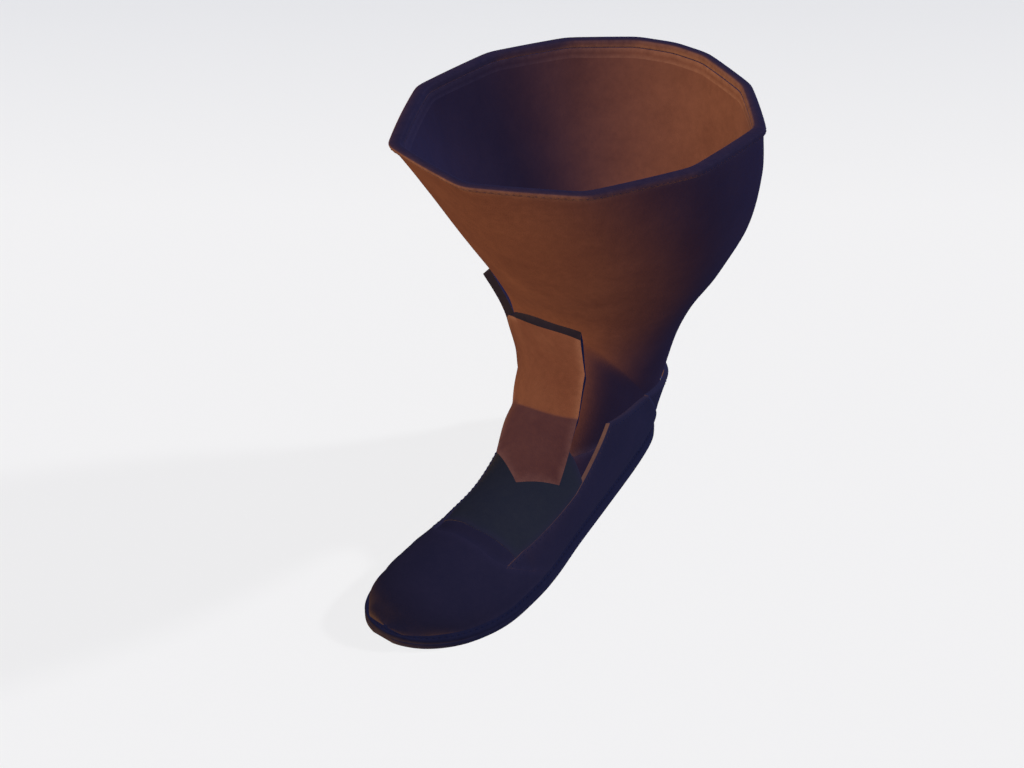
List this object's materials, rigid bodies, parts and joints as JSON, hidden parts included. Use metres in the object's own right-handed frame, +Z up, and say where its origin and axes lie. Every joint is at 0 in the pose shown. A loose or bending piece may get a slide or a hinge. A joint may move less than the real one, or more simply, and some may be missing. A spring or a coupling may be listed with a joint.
{
  "type": "bell-topped boot",
  "caption": "Low leather boot with a flat welted sole, dark quarters and a wide bell-shaped shaft; sole and ankle flex.",
  "frame": {"origin": "on the floor under the sole, below the ankle; the middle of the sole's heel-to-toe run lies ahead of it", "axes": "+Z up, toe towards -Y, the wearer's left towards +X"},
  "size_m": [0.1916, 0.303, 0.2671],
  "materials": {
    "outsole": "waxed sole leather, scuffed edge",
    "welt": "dark waxed leather with a stitched top",
    "cork": "matt granular cork",
    "shank": "bare steel",
    "insole": "undyed board",
    "sock": "smooth, slightly worn",
    "shoe_leather": "smooth dark leather, fine grain, soft sheen",
    "panel_leather": "dark leather, a little greyer and duller",
    "shaft_leather": "brown leather, fine grain, satin",
    "plate_leather": "thick brown leather, satin face, dark dressed edge",
    "lining_leather": "brown lining leather, matt",
    "binding_leather": "dark folded leather, satin",
    "facing_leather": "brown leather strip, matt",
    "stiffener": "stiff backed canvas"
  },
  "bodies": {
    "foot": {"outsole_rear": "outsole", "welt_rear": "welt", "cork_rear": "cork", "shank": "shank", "insole_rear": "insole", "sock_rear": "sock", "instep_panel": "panel_leather", "quarter_lateral": "shoe_leather", "quarter_medial": "shoe_leather", "heel_counter": "stiffener", "foot_lining": "lining_leather", "shaft_base": "shaft_leather", "ankle_leather": "shaft_leather", "ankle_lining": "lining_leather", "front_plate": "plate_leather", "vamp_flex": "shoe_leather", "vamp_flex_lining": "lining_leather"},
    "toe": {"outsole_forepart": "outsole", "welt_forepart": "welt", "cork_forepart": "cork", "insole_forepart": "insole", "sock_forepart": "sock", "toe_vamp": "shoe_leather", "toe_puff": "stiffener", "toe_lining": "lining_leather"},
    "shaft": {"shaft_leather": "shaft_leather", "shaft_lining": "lining_leather", "back_strap": "shaft_leather", "rim_binding": "binding_leather", "rim_facing": "facing_leather"}
  },
  "joints": [
    {"name": "toe_flex", "type": "hinge", "parent": "foot", "child": "toe", "pos_m": [0, -0.115, 0.011], "axis": [-1, 0, 0], "range_deg": [0, 30], "stiffness_Nm_per_rad": 2, "deforming": ["vamp_flex", "vamp_flex_lining"]},
    {"name": "ankle_flex", "type": "hinge", "parent": "foot", "child": "shaft", "pos_m": [0, 0.022, 0.086], "axis": [1, 0, 0], "range_deg": [-12, 12], "stiffness_Nm_per_rad": 6, "deforming": ["ankle_leather", "ankle_lining", "front_plate"]}
  ]
}
